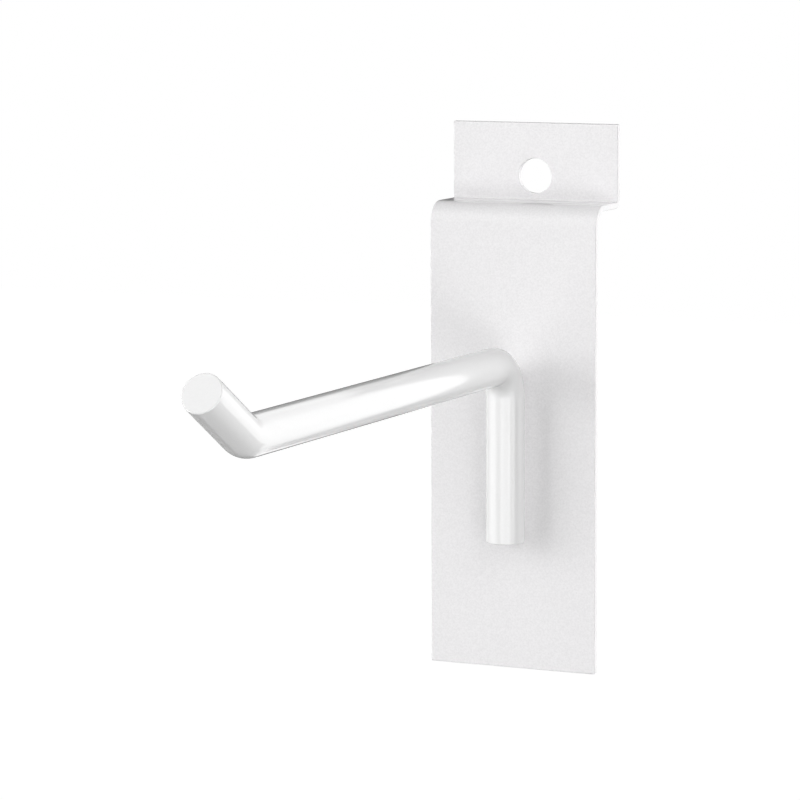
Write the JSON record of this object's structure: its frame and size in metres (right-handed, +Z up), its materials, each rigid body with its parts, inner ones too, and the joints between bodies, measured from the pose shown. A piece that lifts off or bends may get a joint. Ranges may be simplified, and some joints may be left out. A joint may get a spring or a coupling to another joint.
{
  "type": "slatwall hook",
  "caption": "Short display hook for a slatwall panel: folded sheet back plate with a hanging lip, and a welded round wire arm with an upturned tip.",
  "frame": {"origin": "on the back plate's back face, where it bears on the panel, at mid-width and level with the arm's centre line", "axes": "+Z up, +Y back into the panel, square to the plate; the arm runs out along -Y and +X runs across the plate"},
  "size_m": [0.0296, 0.1214, 0.09],
  "materials": {
    "powder_coat_plate": "satin white powder coat with a fine grain",
    "powder_coat_wire": "smooth glossy white powder coat"
  },
  "bodies": {
    "root": {"back_plate": "powder_coat_plate", "wire_hook": "powder_coat_wire"}
  },
  "joints": []
}
